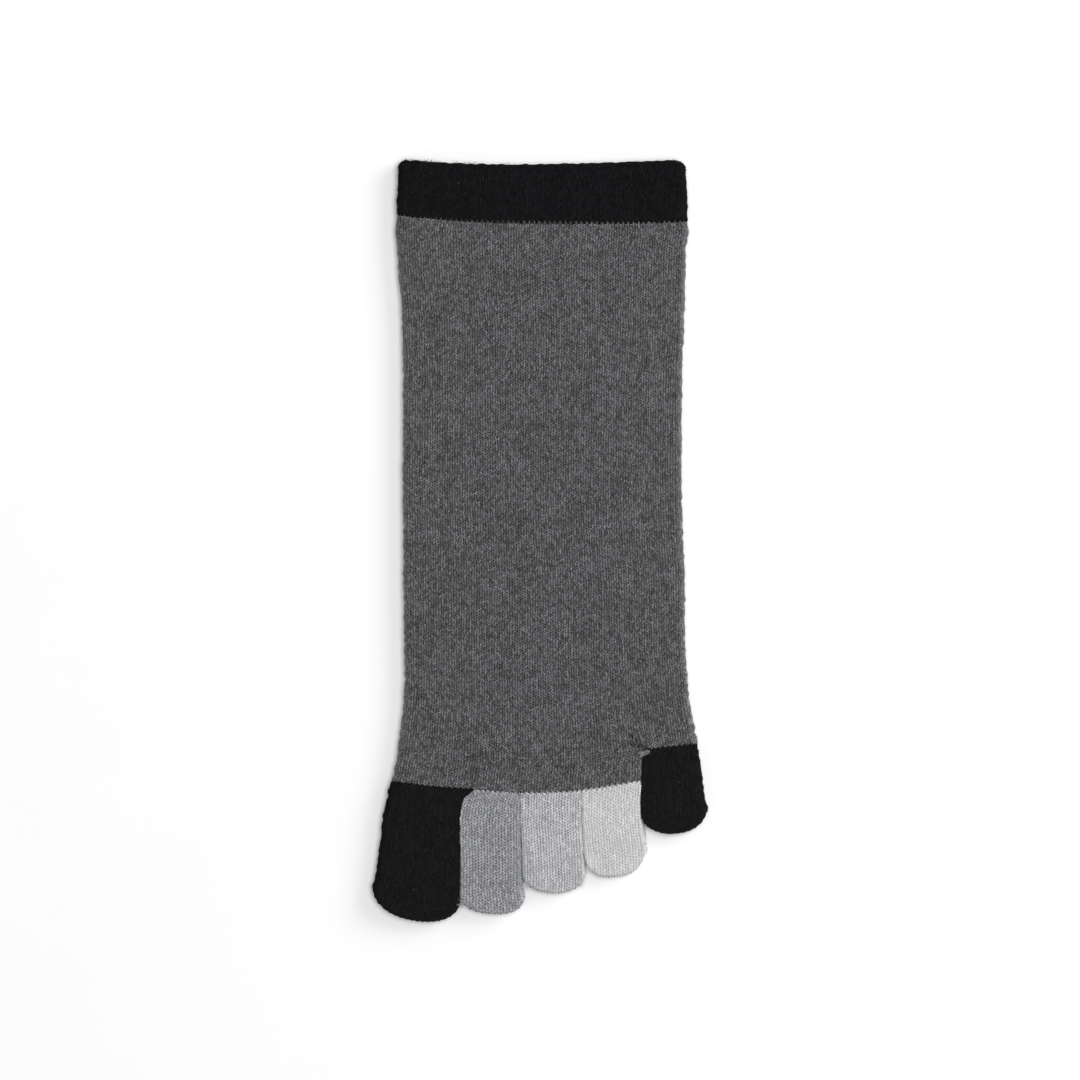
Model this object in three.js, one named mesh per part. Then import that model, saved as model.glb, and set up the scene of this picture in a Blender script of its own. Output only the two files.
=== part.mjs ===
// Toe sock lying flat: a black cuff, a grey foot tube and five toe pockets, each a hollow knit wall.
// Millimetres, +Z up. The cuff opens toward +Y, the toes point toward -Y, the big toe is at -X.
// The underside lies on z = 0 and the middle of the sock's outline is on the Z axis.

import * as THREE from 'three';

// Driving sizes
const CUFF_LENGTH = 18.7;
const CUFF_WIDTH = 92.2;
const CUFF_THICKNESS = 8.0;
const CUFF_WALL = 1.5;
const FOOT_LENGTH = 165.4;
const LEG_WIDTH = 88.2;
const THICKNESS = 7.6;
const WALL = 1.3;
const BLOCK_LENGTH = 13.4;
const TOE_LINE_BOW = 4.9;
const BALL_SHIFT = 1.8;
const BIG_TOE_WIDTH = 26.1;
const BIG_TOE_LENGTH = 41.85;
const SECOND_TOE_WIDTH = 16.4;
const SECOND_TOE_LENGTH = 39.7;
const THIRD_TOE_WIDTH = 19.3;
const THIRD_TOE_LENGTH = 33.2;
const FOURTH_TOE_WIDTH = 18.8;
const FOURTH_TOE_LENGTH = 28.1;
const LITTLE_TOE_LENGTH = 27.75;
const LITTLE_TOE_BASE = 15.0;
const LITTLE_TOE_TILT = 1.6;
const CUFF_SEAM_BOW = 1.7;
const CUFF_SEAM_TILT = 0.9;
const MOUTH_BOW = 1.6;
const SEAM_GAP = 0.3;

// How round the knit folds over: at a free side, between two toes, and at a toe's tip
const FREE_FOLD = 3.8;
const TOE_FOLD = 2.0;
const CROTCH_FOLD = 0.5;
const CROTCH_FADE = 0.3;
const TIP_FOLD = 3.2;
const FREE_FOLD_POWER = 2;
const TOE_FOLD_POWER = 2.8;
const CROWN = 0.35;

// Each toe leans over its neighbour on the big toe's side by this much for each mm of height
const TOE_LEAN = 0.3;

// The four toes of the block, from the big toe: width at the toe line, and length from the toe line to the
// tip. nubLeft and nubRight are the shares of the length where the rounded tip starts on each side, and power
// is how square the tip is.
const TOES = [
  { name: 'big_toe', width: BIG_TOE_WIDTH, length: BIG_TOE_LENGTH, nubLeft: 0.73, nubRight: 0.83, power: 2.2 },
  {
    name: 'second_toe', width: SECOND_TOE_WIDTH, length: SECOND_TOE_LENGTH,
    nubLeft: 0.79, nubRight: 0.82, power: 2.45,
  },
  {
    name: 'third_toe', width: THIRD_TOE_WIDTH, length: THIRD_TOE_LENGTH,
    nubLeft: 0.77, nubRight: 0.76, power: 2.25,
  },
  {
    name: 'fourth_toe', width: FOURTH_TOE_WIDTH, length: FOURTH_TOE_LENGTH,
    nubLeft: 0.61, nubRight: 0.53, power: 2.7,
  },
];
// The little toe's length is measured from its own seam, and its base width is LITTLE_TOE_BASE
const LITTLE_TOE = { name: 'little_toe', length: LITTLE_TOE_LENGTH, nubLeft: 0.70, nubRight: 0.65, power: 2.3 };

// Side edges of the toes. out is the distance past the toe line: in shares of BLOCK_LENGTH before it
// (negative) and of the length of the toe on the edge's left after it. side is the shift toward +X, in shares
// of that toe's width.
const EDGES = {
  bigToeSide: [
    { out: -1, side: 0.115 }, { out: -0.5, side: 0.073 }, { out: 0, side: 0 }, { out: 0.22, side: -0.067 },
    { out: 0.4, side: -0.103 }, { out: 0.59, side: -0.152 }, { out: 0.72, side: -0.189 },
  ],
  afterBigToe: [
    { out: 0, side: 0.03 }, { out: 0.07, side: -0.035 }, { out: 0.12, side: -0.085 }, { out: 0.24, side: -0.11 },
    { out: 0.8, side: -0.131 },
  ],
  afterSecondToe: [{ out: 0, side: 0 }, { out: 0.72, side: -0.02 }, { out: 0.83, side: 0.03 }],
  afterThirdToe: [{ out: 0, side: 0 }, { out: 0.3, side: -0.007 }, { out: 0.76, side: 0.02 }],
  afterFourthToe: [
    { out: -1, side: 0.126 }, { out: -0.8, side: 0.015 }, { out: 0, side: -0.005 }, { out: 0.16, side: -0.015 },
    { out: 0.7, side: 0.075 },
  ],
};

// The little toe's free side: out in shares of the little toe's length from its base, side in shares of
// LITTLE_TOE_BASE
const LITTLE_TOE_SIDE = [
  { out: 0, side: 0 }, { out: 0.17, side: 0.052 }, { out: 0.55, side: 0.14 }, { out: 0.69, side: 0.21 },
];

// Foot outline: along is the share of FOOT_LENGTH from the cuff, flare the share of the way from the leg's
// width to the ball's, left and right the bulge of each side in shares of LEG_WIDTH
const FOOT_SECTIONS = [
  { along: 0, flare: 0, left: 0.020, right: 0.019 },
  { along: 0.02, flare: 0, left: 0.026, right: 0.024 },
  { along: 0.06, flare: 0, left: 0.022, right: 0.016 },
  { along: 0.13, flare: 0, left: 0.013, right: 0.013 },
  { along: 0.21, flare: 0, left: 0.002, right: 0.010 },
  { along: 0.32, flare: 0, left: 0, right: 0.001 },
  { along: 0.47, flare: 0, left: 0, right: 0 },
  { along: 0.61, flare: 0, left: -0.003, right: 0.006 },
  { along: 0.69, flare: 0, left: -0.004, right: 0.013 },
  { along: 0.80, flare: 0, left: -0.004, right: 0.011 },
  { along: 0.89, flare: 0.06, left: -0.004, right: 0.018 },
  { along: 0.95, flare: 0.45, left: -0.002, right: 0.013 },
  { along: 1, flare: 1, left: 0, right: 0 },
];

// Cuff outline: along is the share of CUFF_LENGTH from the open end, left and right what each side loses
// there, in shares of CUFF_WIDTH
const CUFF_SECTIONS = [
  { along: 0, left: 0.020, right: 0.036 },
  { along: 0.05, left: 0.009, right: 0.018 },
  { along: 0.13, left: 0.005, right: 0.008 },
  { along: 0.4, left: 0.003, right: 0.004 },
  { along: 1, left: 0.001, right: 0.001 },
];

// Colour, roughness and metalness of each yarn
const YARNS = {
  black: new THREE.MeshStandardMaterial({ color: 0x19191b, roughness: 0.95, metalness: 0 }),
  grey: new THREE.MeshStandardMaterial({ color: 0x58595b, roughness: 0.95, metalness: 0 }),
  midGrey: new THREE.MeshStandardMaterial({ color: 0x8b8c90, roughness: 0.95, metalness: 0 }),
  lightGrey: new THREE.MeshStandardMaterial({ color: 0xb0b1b4, roughness: 0.95, metalness: 0 }),
  paleGrey: new THREE.MeshStandardMaterial({ color: 0xc5c6c7, roughness: 0.95, metalness: 0 }),
};

// Steps of the meshes
const FOLD_STEPS = 4;
const TOE_COLUMNS = 5;
const BLOCK_COLUMNS = 9;
const LITTLE_TOE_COLUMNS = 3;
const BLOCK_STEPS = [0.2, 0.45, 0.75, 1];
const TOE_STEPS = [0, 0.12, 0.3, 0.5, 0.7, 0.86, 1];
const TIP_STEPS = 3;

const mix = (from, to, share) => from + (to - from) * share;
const range = (count) => Array.from({ length: count }, (unused, index) => index);

// Value of one column of a table at a share between its rows
function lookUp(table, key, share, column) {
  const next = table.findIndex((row) => row[key] >= share);
  if (next === 0) return table[0][column];
  if (next < 0) return table[table.length - 1][column];
  const before = table[next - 1];
  const after = table[next];
  return mix(before[column], after[column], (share - before[key]) / (after[key] - before[key]));
}

// A knit wall is built as two skins with the same faces, an outer and an inner one, whose open edges are
// joined into a rim. points holds pairs [outer, inner] of positions.
function newWall() {
  return { points: [], faces: [] };
}

function addPoint(wall, outer, inner) {
  wall.points.push([outer, inner]);
  return wall.points.length - 1;
}

// Faces between two closed rows of point numbers, of the same count
function addStrip(wall, rowA, rowB) {
  const count = rowA.length;
  for (const index of range(count)) {
    const next = (index + 1) % count;
    const corners = [rowA[index], rowA[next], rowB[next], rowB[index]];
    for (const [a, b, c] of [[0, 1, 2], [0, 2, 3]]) {
      const face = [corners[a], corners[b], corners[c]];
      if (new Set(face).size === 3) wall.faces.push(face);
    }
  }
}

// One closed body from the two skins
function wallGeometry(wall) {
  const count = wall.points.length;
  const edges = new Set();
  const triangles = [];
  for (const [a, b, c] of wall.faces) {
    triangles.push([a, b, c], [c + count, b + count, a + count]);
    for (const [from, to] of [[a, b], [b, c], [c, a]]) edges.add(`${from} ${to}`);
  }
  for (const edge of edges) {
    const [from, to] = edge.split(' ').map(Number);
    if (edges.has(`${to} ${from}`)) continue;
    triangles.push([to, from, from + count], [to, from + count, to + count]);
  }
  const positions = [...wall.points.map((pair) => pair[0]), ...wall.points.map((pair) => pair[1])];
  const corner = (index) => new THREE.Vector3(...positions[index]);
  const volume = triangles.reduce(
    (sum, [a, b, c]) => sum + corner(a).dot(corner(b).cross(corner(c))), 0);
  const outward = volume > 0 ? triangles : triangles.map(([a, b, c]) => [c, b, a]);
  const geometry = new THREE.BufferGeometry();
  geometry.setAttribute('position', new THREE.Float32BufferAttribute(positions.flat(), 3));
  geometry.setIndex(outward.flat());
  geometry.computeVertexNormals();
  return geometry;
}

// Where the points of a ring lie on its section: up the left fold, across the top, down the right fold and
// back under the bottom. angle is a fold's turn from the side, top is +1 above the middle and -1 below it.
function ringPlan(columns) {
  const quarter = Math.PI / 2;
  const steps = range(FOLD_STEPS + 1).map((step) => (step / FOLD_STEPS) * quarter);
  const flat = range(columns - 1).map((step) => (step + 1) / columns);
  const leftSide = steps.map((angle) => ({ fold: 'left', angle, top: 1 }));
  const rightSide = steps.map((angle) => ({ fold: 'right', angle, top: 1 }));
  const upper = [...leftSide, ...flat.map((share) => ({ share, top: 1 })), ...rightSide.reverse()];
  const lower = upper.slice(1, -1).reverse().map((point) => ({ ...point, top: -1 }));
  return [...upper, ...lower];
}

// Position across and up, from the middle of the thickness, of one ring point of a section, before it leans.
// across runs from -1 at the left side to 1 at the right. columnAt spreads the flat points.
function sectionPoint(section, inset, point, columnAt) {
  const left = section.left + inset;
  const right = section.right - inset;
  const half = section.thickness / 2 - inset;
  const leftFold = Math.max(section.leftFold - inset, CROTCH_FOLD / 2);
  const rightFold = Math.max(section.rightFold - inset, CROTCH_FOLD / 2);
  let x;
  let height = 1;
  if (point.fold) {
    const power = point.fold === 'left' ? section.leftPower : section.rightPower;
    const reach = 1 - Math.cos(point.angle) ** (2 / power);
    x = point.fold === 'left' ? left + leftFold * reach : right - rightFold * reach;
    height = Math.sin(point.angle) ** (2 / power);
  } else {
    x = columnAt(point, left + leftFold, right - rightFold);
  }
  const across = (2 * (x - left)) / (right - left) - 1;
  const crown = point.top > 0 ? section.crown * across ** 2 : 0;
  const z = point.top * height * (half - crown);
  const lean = mix(section.leftLean, section.rightLean, (across + 1) / 2);
  return { x, z, across, lean };
}

const evenColumns = () => (point, from, to) => mix(from, to, point.share);

// Outer and inner positions of one ring point. placeAt gives its place along the sock and how much of its
// height is left there.
function wallPoint(section, wallSize, point, placeAt, columns = evenColumns) {
  return [0, wallSize].map((inset) => {
    const { x, z, across, lean } = sectionPoint(section, inset, point, columns(inset));
    const { y, rise = 1 } = placeAt(x, across, inset);
    return [x - lean * z * rise, y, z * rise + section.thickness / 2];
  });
}

const FREE_SIDES = {
  leftFold: FREE_FOLD,
  rightFold: FREE_FOLD,
  leftPower: FREE_FOLD_POWER,
  rightPower: FREE_FOLD_POWER,
  leftLean: 0,
  rightLean: 0,
  crown: CROWN,
  thickness: THICKNESS,
};

// Places along the sock: the toe line's level is y = 0, and out is the distance from it toward the toes
const toeStarts = TOES.reduce((starts, toe) => [...starts, starts.at(-1) + toe.width], [0]);
const blockWidth = toeStarts.at(-1);
const EDGE_ROWS = Object.values(EDGES);
const EDGE_OWNERS = [TOES[0], ...TOES];

// Shift of side edge number 0 to 4, counted from the big toe's free side, from its place on the toe line
function edgeShift(number, out) {
  const toe = EDGE_OWNERS[number];
  const share = out < 0 ? out / BLOCK_LENGTH : out / toe.length;
  return lookUp(EDGE_ROWS[number], 'out', share, 'side') * toe.width;
}

// The ball of the foot is centred on the leg, with a shift toward the little toe
const ballReach = edgeShift(0, -BLOCK_LENGTH);
const crotchReach = blockWidth + edgeShift(4, -BLOCK_LENGTH);
const toeLineStart = BALL_SHIFT - (ballReach + crotchReach + LITTLE_TOE_BASE) / 2;
const ballLeft = toeLineStart + ballReach;
const crotchX = toeLineStart + crotchReach;
const ballRight = crotchX + LITTLE_TOE_BASE;

function edgeAt(number, out) {
  return toeLineStart + toeStarts[number] + edgeShift(number, out);
}

// The toe line bows toward the toes in its middle
function toeLine(x) {
  const across = Math.min(1, Math.abs((2 * (x - toeLineStart)) / blockWidth - 1));
  return TOE_LINE_BOW * (across ** 1.6 - 1 / 3);
}

// The little toe's seam rises toward its free side
function crotchLine(x) {
  return BLOCK_LENGTH + (LITTLE_TOE_TILT * Math.max(0, x - crotchX)) / LITTLE_TOE_BASE;
}

// The cuff's seam bows toward the toes in its middle and is higher on the big toe's side
function cuffLine(x) {
  const side = x / (CUFF_WIDTH / 2);
  return BLOCK_LENGTH + FOOT_LENGTH + CUFF_SEAM_BOW * side ** 2 - CUFF_SEAM_TILT * side;
}

// The cuff's mouth bows the same way, without the tilt
function mouthLine(x) {
  return BLOCK_LENGTH + FOOT_LENGTH + CUFF_LENGTH + MOUTH_BOW * (x / (CUFF_WIDTH / 2)) ** 2;
}

// Size of the fold beside the crotch: sharp at the crotch and full a little further on
function foldBesideCrotch(out) {
  const share = (out + BLOCK_LENGTH) / (CROTCH_FADE * BLOCK_LENGTH);
  return mix(CROTCH_FOLD, TOE_FOLD, Math.min(1, Math.max(0, share)));
}

function cuffGeometry() {
  const wall = newWall();
  const plan = ringPlan(BLOCK_COLUMNS + LITTLE_TOE_COLUMNS);
  const rows = CUFF_SECTIONS.map(({ along, left, right }) => {
    const section = {
      ...FREE_SIDES,
      left: CUFF_WIDTH * (left - 0.5),
      right: CUFF_WIDTH * (0.5 - right),
      thickness: CUFF_THICKNESS,
    };
    const placeAt = (x) => ({ y: mix(mouthLine(x), cuffLine(x) + SEAM_GAP, along) });
    return plan.map((point) => addPoint(wall, ...wallPoint(section, CUFF_WALL, point, placeAt)));
  });
  for (const index of range(rows.length - 1)) addStrip(wall, rows[index], rows[index + 1]);
  return wallGeometry(wall);
}

// Section of the foot tube at one row of its table
function tubeSection({ flare, left, right }) {
  return {
    ...FREE_SIDES,
    left: mix(-LEG_WIDTH / 2, ballLeft, flare) - left * LEG_WIDTH,
    right: mix(LEG_WIDTH / 2, ballRight, flare) + right * LEG_WIDTH,
  };
}

// One column of the tube runs into the crotch, and the others are spread evenly on each side of it
function tubeColumns(section, flare) {
  const crotchShare = BLOCK_COLUMNS / (BLOCK_COLUMNS + LITTLE_TOE_COLUMNS);
  const crotchAcross = (crotchX - ballLeft) / LITTLE_TOE_BASE / (1 + (crotchX - ballLeft) / LITTLE_TOE_BASE);
  return (inset) => (point, from, to) => {
    const lean = TOE_LEAN * flare * point.top * (THICKNESS / 2 - inset);
    const middle = mix(section.left, section.right, crotchAcross) - SEAM_GAP / 2 - inset - lean;
    if (point.share <= crotchShare) return mix(from, middle, point.share / crotchShare);
    return mix(middle, to, (point.share - crotchShare) / (1 - crotchShare));
  };
}

// Section of the four-toe block at a distance out from the toe line
function blockSection(out) {
  return {
    ...FREE_SIDES,
    left: edgeAt(0, out),
    right: edgeAt(4, out) - SEAM_GAP / 2,
    rightFold: foldBesideCrotch(out),
    rightPower: TOE_FOLD_POWER,
    rightLean: TOE_LEAN,
  };
}

// The foot tube, then the four-toe block, which goes on past the crotch beside the little toe
function footGeometry() {
  const wall = newWall();
  const tubePlan = ringPlan(BLOCK_COLUMNS + LITTLE_TOE_COLUMNS);
  const rows = FOOT_SECTIONS.map((row) => {
    const section = tubeSection(row);
    const columns = tubeColumns(section, row.flare);
    const placeAt = (x) => ({ y: mix(cuffLine(x), crotchLine(x), row.along) });
    return tubePlan.map((point) => addPoint(wall, ...wallPoint(section, WALL, point, placeAt, columns)));
  });

  // At the crotch the block's ring takes the tube's points up to the crotch column, and new ones down its fold
  const plan = ringPlan(BLOCK_COLUMNS);
  const tubeEnd = rows.at(-1);
  const shared = FOLD_STEPS + BLOCK_COLUMNS + 1;
  const crotchSection = blockSection(-BLOCK_LENGTH);
  const crotchRow = plan.map((point, index) => {
    const fromEnd = plan.length - index;
    if (index < shared) return tubeEnd[index];
    if (fromEnd < shared) return tubeEnd[tubeEnd.length - fromEnd];
    return addPoint(wall, ...wallPoint(crotchSection, WALL, point, () => ({ y: BLOCK_LENGTH })));
  });
  const blockRows = BLOCK_STEPS.map((share) => {
    const section = blockSection(-mix(BLOCK_LENGTH, toeLine(toeLineStart), share));
    const placeAt = (x) => ({ y: mix(BLOCK_LENGTH, toeLine(x), share) });
    return plan.map((point) => addPoint(wall, ...wallPoint(section, WALL, point, placeAt)));
  });

  for (const index of range(rows.length - 1)) addStrip(wall, rows[index], rows[index + 1]);
  const block = [crotchRow, ...blockRows];
  for (const index of range(block.length - 1)) addStrip(wall, block[index], block[index + 1]);
  return wallGeometry(wall);
}

// A toe pocket: rows from its open seam to where the rounded tip starts, then the tip, which closes on the
// middle of the thickness. seam gives the seam's place at x, and start the distance out that the toe's length
// is measured from. leftAt, rightAt and foldsAt give its sides and their folds at a distance out.
function toeGeometry(toe, { seam, start, leftAt, rightAt, foldsAt }) {
  const wall = newWall();
  const plan = ringPlan(TOE_COLUMNS);
  const leftNub = start + toe.length * toe.nubLeft;
  const rightNub = start + toe.length * toe.nubRight;
  const tipDepth = start + toe.length - (leftNub + rightNub) / 2;
  const seamOut = (x) => SEAM_GAP - seam(x);
  const tipShape = (across) => Math.max(0, 1 - Math.abs(across) ** toe.power) ** (1 / toe.power);

  const pointAt = (point, share, turn) => {
    const leftOut = mix(seamOut(leftAt(start)), leftNub, share);
    const rightOut = mix(seamOut(rightAt(start)), rightNub, share);
    const section = { ...FREE_SIDES, left: leftAt(leftOut), right: rightAt(rightOut), ...foldsAt(leftOut) };
    const placeAt = (x, across, inset) => {
      const chord = mix(leftNub, rightNub, (across + 1) / 2);
      const bow = (tipDepth - TIP_FOLD) * share ** 3 + (TIP_FOLD - inset) * Math.sin(turn);
      return { y: -(mix(seamOut(x), chord, share) + bow * tipShape(across)), rise: Math.cos(turn) };
    };
    return addPoint(wall, ...wallPoint(section, WALL, point, placeAt));
  };

  const rows = TOE_STEPS.map((share) => plan.map((point) => pointAt(point, share, 0)));
  const upperEnd = plan.length / 2;
  for (const step of range(TIP_STEPS)) {
    const turn = ((step + 1) / TIP_STEPS) * (Math.PI / 2);
    const closing = step === TIP_STEPS - 1;
    const row = [];
    for (const [index, point] of plan.entries()) {
      if (index === 0 || index === upperEnd) row.push(rows[TOE_STEPS.length - 1][index]);
      else if (closing && index > upperEnd) row.push(row[plan.length - index]);
      else row.push(pointAt(point, 1, turn));
    }
    rows.push(row);
  }
  for (const index of range(rows.length - 1)) addStrip(wall, rows[index], rows[index + 1]);
  return wallGeometry(wall);
}

const TOE_SIDES = {
  leftFold: TOE_FOLD,
  rightFold: TOE_FOLD,
  leftPower: TOE_FOLD_POWER,
  rightPower: TOE_FOLD_POWER,
  leftLean: TOE_LEAN,
  rightLean: TOE_LEAN,
};
const FREE_LEFT = { leftFold: FREE_FOLD, leftPower: FREE_FOLD_POWER, leftLean: 0 };
const FREE_RIGHT = { rightFold: FREE_FOLD, rightPower: FREE_FOLD_POWER, rightLean: 0 };

// One of the block's toes, numbered from the big toe
function blockToeGeometry(number) {
  const leftGap = number === 0 ? 0 : SEAM_GAP / 2;
  return toeGeometry(TOES[number], {
    seam: toeLine,
    start: 0,
    leftAt: (out) => edgeAt(number, out) + leftGap,
    rightAt: (out) => edgeAt(number + 1, out) - SEAM_GAP / 2,
    foldsAt: () => (number === 0 ? { ...TOE_SIDES, ...FREE_LEFT } : TOE_SIDES),
  });
}

function littleToeGeometry() {
  const start = -BLOCK_LENGTH;
  return toeGeometry(LITTLE_TOE, {
    seam: crotchLine,
    start,
    leftAt: (out) => edgeAt(4, out) + SEAM_GAP / 2,
    rightAt: (out) => {
      const share = (out - start) / LITTLE_TOE.length;
      return ballRight + lookUp(LITTLE_TOE_SIDE, 'out', share, 'side') * LITTLE_TOE_BASE;
    },
    foldsAt: (out) => ({ ...TOE_SIDES, ...FREE_RIGHT, leftFold: foldBesideCrotch(out) }),
  });
}

function piece(name, geometry, yarn) {
  const mesh = new THREE.Mesh(geometry, yarn);
  mesh.name = name;
  return mesh;
}

const sock = new THREE.Group();
sock.add(piece('cuff', cuffGeometry(), YARNS.black));
sock.add(piece('foot', footGeometry(), YARNS.grey));
const toeYarns = [YARNS.black, YARNS.midGrey, YARNS.lightGrey, YARNS.paleGrey];
for (const [number, toe] of TOES.entries()) {
  sock.add(piece(toe.name, blockToeGeometry(number), toeYarns[number]));
}
sock.add(piece(LITTLE_TOE.name, littleToeGeometry(), YARNS.black));

// The middle of the outline goes on the Z axis
const middle = new THREE.Box3().setFromObject(sock).getCenter(new THREE.Vector3());
sock.position.set(-middle.x, -middle.y, 0);

export default sock;
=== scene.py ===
# Toe sock lying flat on a white floor, seen straight from above.
# Sizes are in millimetres until a mesh is made. x runs from the big toe to the little toe, y from the toes to
# the cuff, z up from the floor. Courses are the knit's rows, wales its columns.

import math

import bmesh
import bpy
import numpy as np
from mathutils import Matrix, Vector


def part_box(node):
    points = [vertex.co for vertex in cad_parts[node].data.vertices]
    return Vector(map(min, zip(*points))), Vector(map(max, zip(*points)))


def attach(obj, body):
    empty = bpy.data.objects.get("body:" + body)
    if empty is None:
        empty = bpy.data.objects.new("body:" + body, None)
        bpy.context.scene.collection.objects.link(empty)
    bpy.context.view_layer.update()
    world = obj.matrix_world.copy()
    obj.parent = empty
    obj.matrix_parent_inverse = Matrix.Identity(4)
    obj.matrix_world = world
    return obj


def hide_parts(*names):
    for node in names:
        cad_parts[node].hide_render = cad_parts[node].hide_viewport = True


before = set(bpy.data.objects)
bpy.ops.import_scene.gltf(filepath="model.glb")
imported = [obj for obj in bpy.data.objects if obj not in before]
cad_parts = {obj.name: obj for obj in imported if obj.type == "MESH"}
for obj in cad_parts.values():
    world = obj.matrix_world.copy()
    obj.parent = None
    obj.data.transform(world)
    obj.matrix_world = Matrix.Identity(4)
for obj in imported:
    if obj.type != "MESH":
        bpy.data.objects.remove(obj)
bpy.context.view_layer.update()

MM = 0.001
RANDOM = np.random.default_rng(41)

# Sizes of the sock, as its solids have them
CUFF_LENGTH = 18.7
CUFF_WIDTH = 92.2
CUFF_THICKNESS = 8.0
CUFF_WALL = 1.5
FOOT_LENGTH = 165.4
LEG_WIDTH = 88.2
THICKNESS = 7.6
WALL = 1.3
BLOCK_LENGTH = 13.4
BALL_SHIFT = 1.8
LITTLE_TOE_BASE = 15.0
LITTLE_TOE_TILT = 1.6

# Bows and tilts of the seams and the mouth. SEAM_BEND pulls the toe line up beside the big toe.
TOE_LINE_BOW = 4.9
TOE_LINE_POWER = 1.6
TOE_LINE_MEAN = 1 / 3
SEAM_BEND = 1.45
SEAM_BEND_X = -15.8
SEAM_BEND_WIDTH = 19.6
CUFF_SEAM_BOW = 1.7
CUFF_SEAM_TILT = 0.9
CUFF_SEAM_RISE = 0.4
MOUTH_BOW = 1.6

# Side folds: how wide and how square they are. Of two toes that meet, the left one has the lower fold. They
# widen where toes come apart.
FREE_FOLD = 2.4
FREE_POWER = 2.5
TOE_POWER = 2.8
UPPER_FOLD = 0.3
UPPER_TIP_FOLD = 0.6
LOWER_FOLD = 0.5
LOWER_TIP_FOLD = 1.4
CROTCH_FOLD = 0.5
CROTCH_FADE = 0.3
CROWN = 0.35

# Tips of the toes: how far and how squarely the edge is rounded, what is cut off against the solids, and how
# the courses bend toward the tip
TIP_FOLD = 1.4
TIP_TRIM = 0.6
TIP_POWER = 2.6
TIP_BEND_POWER = 3

# Sides that meet lean to the left by TOE_LEAN of their height, and straighten up from LEAN_START to LEAN_END
# past the toe line, or to FREE_LEAN_END beside the little toe. A gap below 0 is an overlap.
TOE_LEAN = 0.2
LEAN_START = 10.0
LEAN_END = 24.0
FREE_LEAN_END = 18.0
SEAM_GAP = -0.35

# The toes of the block: width, length past the toe line, where the rounded tip starts on each side as a share
# of the length, how square it is, and the stitches across one face and along it
TOES = {
    "big_toe": dict(width=26.1, length=41.85, left=0.73, right=0.815, power=2.2, wales=19, courses=47),
    "second_toe": dict(width=16.4, length=39.7, left=0.79, right=0.82, power=2.45, wales=14, courses=45),
    "third_toe": dict(width=19.3, length=33.2, left=0.75, right=0.76, power=2.25, wales=15, courses=38),
    "fourth_toe": dict(width=18.8, length=28.1, left=0.585, right=0.53, power=2.7, wales=15, courses=32),
}
LITTLE_TOE = dict(width=15.0, length=27.75, left=0.685, right=0.65, power=2.3, wales=15, courses=31)

# Side edges of the toes, from the big toe's outer side: distance past the toe line, in shares of BLOCK_LENGTH
# before it and of the toe's length after it, and shift in shares of the width of the toe on its left
EDGES = [
    [(-1, 0.115), (-0.5, 0.073), (0, 0), (0.22, -0.067), (0.4, -0.103), (0.59, -0.152), (0.72, -0.189)],
    [(0, 0.065), (0.05, -0.03), (0.12, -0.085), (0.24, -0.11), (0.8, -0.131)],
    [(0, 0), (0.72, -0.02), (0.83, 0.03)],
    [(0, 0), (0.3, -0.007), (0.76, 0.02)],
    [(-1, 0.126), (-0.8, 0.015), (0, -0.005), (0.16, -0.015), (0.7, 0.075)],
]
LITTLE_TOE_SIDE = [(0, 0), (0.17, 0.052), (0.55, 0.14), (0.69, 0.21)]

# Foot outline: share of the length from the cuff, share of the way from the leg's width to the ball's, and
# each side's bulge in shares of LEG_WIDTH
FOOT_SECTIONS = [
    (0, 0, 0.020, 0.019), (0.02, 0, 0.026, 0.024), (0.06, 0, 0.022, 0.016), (0.13, 0, 0.013, 0.013),
    (0.21, 0, 0.002, 0.010), (0.32, 0, 0, 0.001), (0.47, 0, 0, 0), (0.61, 0, -0.003, 0.006),
    (0.69, 0, -0.004, 0.013), (0.80, 0, -0.004, 0.011), (0.89, 0.06, -0.004, 0.018),
    (0.95, 0.45, -0.002, 0.013), (1, 1, 0, 0),
]

# Cuff outline: share of its length from the mouth, and what each side loses in shares of CUFF_WIDTH
CUFF_SECTIONS = [
    (0, 0.020, 0.036), (0.05, 0.009, 0.018), (0.13, 0.005, 0.008), (0.4, 0.003, 0.004), (1, 0.001, 0.001),
]

# The knit: wales of the foot's top up to the crotch and past it, and of the strip that closes the block's
# side; courses of the grey knit down to the crotch and to the toe line, and of the cuff
CROTCH_WALES = 47
LITTLE_TOE_WALES = 12
STRIP_WALES = 6
TOP_WALES = CROTCH_WALES + LITTLE_TOE_WALES
TUBE_COURSES = 199
GREY_COURSES = 211
CUFF_COURSES = 20

# One stitch is a V of two arms, COLUMNS by ROWS faces. Its arms rise by STITCH_RISE courses from its foot to
# its shoulders. STITCH_HEIGHTS are those of its points.
COLUMNS = 4
ROWS = 3
STITCH_RISE = 1.4
STITCH_HEIGHTS = [
    [-0.28, -0.16, -0.40, -0.16],
    [-0.46, 0.0, -0.38, 0.0],
    [-0.40, 0.0, -0.30, 0.0],
]
HIGHEST = 0.3

# Seams: courses over which a toe is crowned as the knit above it and over which the stitches' rise fades, the
# share left of it at the toe line, courses tucked under, the lip's thickness and what lies under it
SEAM_FADE = 12
SEAM_CHEVRON_FADE = 2.0
TOE_SEAM_CHEVRON = 0.55
TUCK = 1.0
LIP = 0.38
SINK = 0.5
LIP_RELIEF = 0.65

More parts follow.
